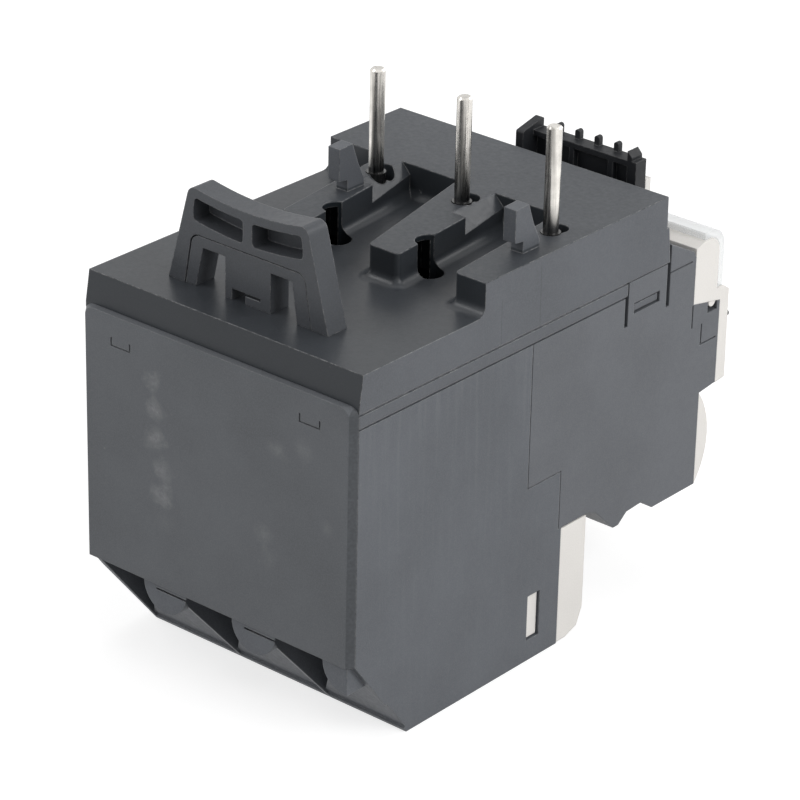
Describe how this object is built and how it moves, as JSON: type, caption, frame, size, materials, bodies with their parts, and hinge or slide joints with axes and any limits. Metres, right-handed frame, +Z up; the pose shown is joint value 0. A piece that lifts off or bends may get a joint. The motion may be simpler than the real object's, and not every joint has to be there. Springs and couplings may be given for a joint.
{
  "type": "thermal overload relay",
  "caption": "Motor overload relay that hangs under a contactor: plug pins and a hook on top, bimetal strips inside, setting dial, reset and stop buttons and wire clamps in front.",
  "frame": {"origin": "centre of the bounding box at its base: middle of the width and the depth, at the lowest face", "axes": "+X to the right seen from the front, front (dial and terminals) toward -Y, plain rear panel toward +Y, +Z up with the plug pins on top"},
  "size_m": [0.045, 0.0762, 0.071],
  "materials": {
    "shell": "fine grained",
    "panel": "fine grained",
    "cap": "smooth satin",
    "module": "fine grained",
    "hook": "smooth satin",
    "comb": "smooth satin",
    "light_plastic": "smooth",
    "clear_plastic": "clear",
    "dial_plastic": "smooth",
    "white_plastic": "smooth",
    "blue_plastic": "satin",
    "red_plastic": "satin",
    "orange_plastic": "smooth",
    "tinned_copper": "drawn, tinned",
    "copper": "plain",
    "bimetal": "rolled",
    "heater_alloy": "drawn",
    "zinc_steel": "zinc plated",
    "spring_steel": "drawn"
  },
  "bodies": {
    "base": {"rear_housing": "shell", "rear_cover": "panel", "phase_barrier_1": "shell", "phase_barrier_2": "shell", "top_cap": "cap", "mechanism_housing": "module", "contactor_hook": "hook", "hook_latch": "hook", "terminal_comb": "comb", "front_frame": "light_plastic", "aux_faceplate": "light_plastic", "power_shroud": "light_plastic", "phase_pin_1": "tinned_copper", "phase_pin_2": "tinned_copper", "phase_pin_3": "tinned_copper", "load_bar_1": "copper", "load_bar_2": "copper", "load_bar_3": "copper", "aux_bar_1": "copper", "aux_bar_2": "copper", "aux_bar_3": "copper", "aux_bar_4": "copper"},
    "cover": {"setting_cover": "clear_plastic"},
    "dial": {"setting_dial": "dial_plastic", "dial_shaft": "white_plastic"},
    "reset_slide": {"reset_plunger": "white_plastic", "reset_spring": "spring_steel"},
    "reset_knob": {"reset_button": "blue_plastic"},
    "stop": {"stop_button": "red_plastic", "stop_spring": "spring_steel"},
    "test": {"test_slider": "red_plastic"},
    "trip_bar": {"trip_slider": "white_plastic"},
    "differential_bar": {"differential_slider": "white_plastic"},
    "lever": {"trip_lever": "white_plastic", "trip_flag": "orange_plastic"},
    "carriage": {"contact_carriage": "white_plastic", "nc_bridge": "copper", "no_bridge": "copper"},
    "strip_1": {"bimetal_1": "bimetal", "heater_1": "heater_alloy"},
    "strip_2": {"bimetal_2": "bimetal", "heater_2": "heater_alloy"},
    "strip_3": {"bimetal_3": "bimetal", "heater_3": "heater_alloy"},
    "power_screw_1": {"power_screw_1": "zinc_steel"},
    "cage_1": {"clamp_cage_1": "zinc_steel"},
    "power_screw_2": {"power_screw_2": "zinc_steel"},
    "cage_2": {"clamp_cage_2": "zinc_steel"},
    "power_screw_3": {"power_screw_3": "zinc_steel"},
    "cage_3": {"clamp_cage_3": "zinc_steel"},
    "aux_clamp_1": {"aux_washer_1": "zinc_steel"},
    "aux_screw_1": {"aux_screw_1": "zinc_steel"},
    "aux_clamp_2": {"aux_washer_2": "zinc_steel"},
    "aux_screw_2": {"aux_screw_2": "zinc_steel"},
    "aux_clamp_3": {"aux_washer_3": "zinc_steel"},
    "aux_screw_3": {"aux_screw_3": "zinc_steel"},
    "aux_clamp_4": {"aux_washer_4": "zinc_steel"},
    "aux_screw_4": {"aux_screw_4": "zinc_steel"}
  },
  "joints": [
    {"name": "cover_hinge", "type": "hinge", "parent": "base", "child": "cover", "pos_m": [0.0214, -0.0352, 0.043], "axis": [0, 0, 1], "range_deg": [0, 100]},
    {"name": "dial_turn", "type": "hinge", "parent": "base", "child": "dial", "pos_m": [0.008, -0.0319, 0.0428], "axis": [0, -1, 0], "range_deg": [-135, 135]},
    {"name": "reset_press", "type": "slide", "parent": "base", "child": "reset_slide", "axis": [0, 1, 0], "range_m": [0, 0.0025], "stiffness_N_per_m": 200, "springref_m": -0.001},
    {"name": "reset_turn", "type": "hinge", "parent": "reset_slide", "child": "reset_knob", "pos_m": [0.012, -0.0369, 0.034], "axis": [0, 1, 0], "range_deg": [0, 90]},
    {"name": "stop_press", "type": "slide", "parent": "base", "child": "stop", "axis": [0, 1, 0], "range_m": [0, 0.0025], "stiffness_N_per_m": 200, "springref_m": -0.001},
    {"name": "test_slide", "type": "slide", "parent": "base", "child": "test", "axis": [0, 0, 1], "range_m": [0, 0.002]},
    {"name": "trip_travel", "type": "slide", "parent": "base", "child": "trip_bar", "axis": [1, 0, 0], "range_m": [0, 0.0016], "stiffness_N_per_m": 100},
    {"name": "differential_travel", "type": "slide", "parent": "base", "child": "differential_bar", "axis": [1, 0, 0], "range_m": [0, 0.0016]},
    {"name": "lever_swing", "type": "hinge", "parent": "base", "child": "lever", "pos_m": [-0.0009, -0.0119, 0.032], "axis": [0, 0, -1], "range_deg": [0, 9.2]},
    {"name": "carriage_travel", "type": "slide", "parent": "base", "child": "carriage", "axis": [0, -1, 0], "range_m": [0, 0.0014]},
    {"name": "strip_bend_1", "type": "hinge", "parent": "base", "child": "strip_1", "pos_m": [0.01355, 0.0226, 0.0173], "axis": [0, 1, 0], "range_deg": [0, 3.8]},
    {"name": "strip_bend_2", "type": "hinge", "parent": "base", "child": "strip_2", "pos_m": [-0.00075, 0.0226, 0.0173], "axis": [0, 1, 0], "range_deg": [0, 3.8]},
    {"name": "strip_bend_3", "type": "hinge", "parent": "base", "child": "strip_3", "pos_m": [-0.01505, 0.0226, 0.0173], "axis": [0, 1, 0], "range_deg": [0, 3.8]},
    {"name": "power_screw_turn_1", "type": "hinge", "parent": "base", "child": "power_screw_1", "pos_m": [0.01355, -0.0039, 0.00775], "axis": [0, 1, 0], "range_deg": [0, 1080]},
    {"name": "cage_slide_1", "type": "slide", "parent": "base", "child": "cage_1", "axis": [0, -1, 0], "range_m": [0, 0.0021]},
    {"name": "power_screw_turn_2", "type": "hinge", "parent": "base", "child": "power_screw_2", "pos_m": [-0.00075, -0.0039, 0.00775], "axis": [0, 1, 0], "range_deg": [0, 1080]},
    {"name": "cage_slide_2", "type": "slide", "parent": "base", "child": "cage_2", "axis": [0, -1, 0], "range_m": [0, 0.0021]},
    {"name": "power_screw_turn_3", "type": "hinge", "parent": "base", "child": "power_screw_3", "pos_m": [-0.01505, -0.0039, 0.00775], "axis": [0, 1, 0], "range_deg": [0, 1080]},
    {"name": "cage_slide_3", "type": "slide", "parent": "base", "child": "cage_3", "axis": [0, -1, 0], "range_m": [0, 0.0021]},
    {"name": "aux_clamp_slide_1", "type": "slide", "parent": "base", "child": "aux_clamp_1", "axis": [0, 1, 0], "range_m": [0, 0.0015]},
    {"name": "aux_screw_turn_1", "type": "hinge", "parent": "aux_clamp_1", "child": "aux_screw_1", "pos_m": [0.0156, -0.0269, 0.02], "axis": [0, 1, 0], "range_deg": [0, 1080]},
    {"name": "aux_clamp_slide_2", "type": "slide", "parent": "base", "child": "aux_clamp_2", "axis": [0, 1, 0], "range_m": [0, 0.0015]},
    {"name": "aux_screw_turn_2", "type": "hinge", "parent": "aux_clamp_2", "child": "aux_screw_2", "pos_m": [0.0052, -0.0269, 0.02], "axis": [0, 1, 0], "range_deg": [0, 1080]},
    {"name": "aux_clamp_slide_3", "type": "slide", "parent": "base", "child": "aux_clamp_3", "axis": [0, 1, 0], "range_m": [0, 0.0015]},
    {"name": "aux_screw_turn_3", "type": "hinge", "parent": "aux_clamp_3", "child": "aux_screw_3", "pos_m": [-0.0052, -0.0269, 0.02], "axis": [0, 1, 0], "range_deg": [0, 1080]},
    {"name": "aux_clamp_slide_4", "type": "slide", "parent": "base", "child": "aux_clamp_4", "axis": [0, 1, 0], "range_m": [0, 0.0015]},
    {"name": "aux_screw_turn_4", "type": "hinge", "parent": "aux_clamp_4", "child": "aux_screw_4", "pos_m": [-0.0156, -0.0269, 0.02], "axis": [0, 1, 0], "range_deg": [0, 1080]}
  ],
  "couplings": [
    {"joint": "differential_travel", "follows": "trip_travel", "ratio": 1},
    {"joint": "lever_swing", "follows": "trip_travel", "rad_per_m": 100},
    {"joint": "carriage_travel", "follows": "trip_travel", "ratio": 0.875},
    {"joint": "strip_bend_1", "follows": "trip_travel", "rad_per_m": 40},
    {"joint": "strip_bend_2", "follows": "trip_travel", "rad_per_m": 40},
    {"joint": "strip_bend_3", "follows": "trip_travel", "rad_per_m": 40},
    {"joint": "power_screw_turn_1", "follows": "cage_slide_1", "rad_per_m": 8975.9},
    {"joint": "power_screw_turn_2", "follows": "cage_slide_2", "rad_per_m": 8975.9},
    {"joint": "power_screw_turn_3", "follows": "cage_slide_3", "rad_per_m": 8975.9},
    {"joint": "aux_screw_turn_1", "follows": "aux_clamp_slide_1", "rad_per_m": 12566},
    {"joint": "aux_screw_turn_2", "follows": "aux_clamp_slide_2", "rad_per_m": 12566},
    {"joint": "aux_screw_turn_3", "follows": "aux_clamp_slide_3", "rad_per_m": 12566},
    {"joint": "aux_screw_turn_4", "follows": "aux_clamp_slide_4", "rad_per_m": 12566}
  ]
}
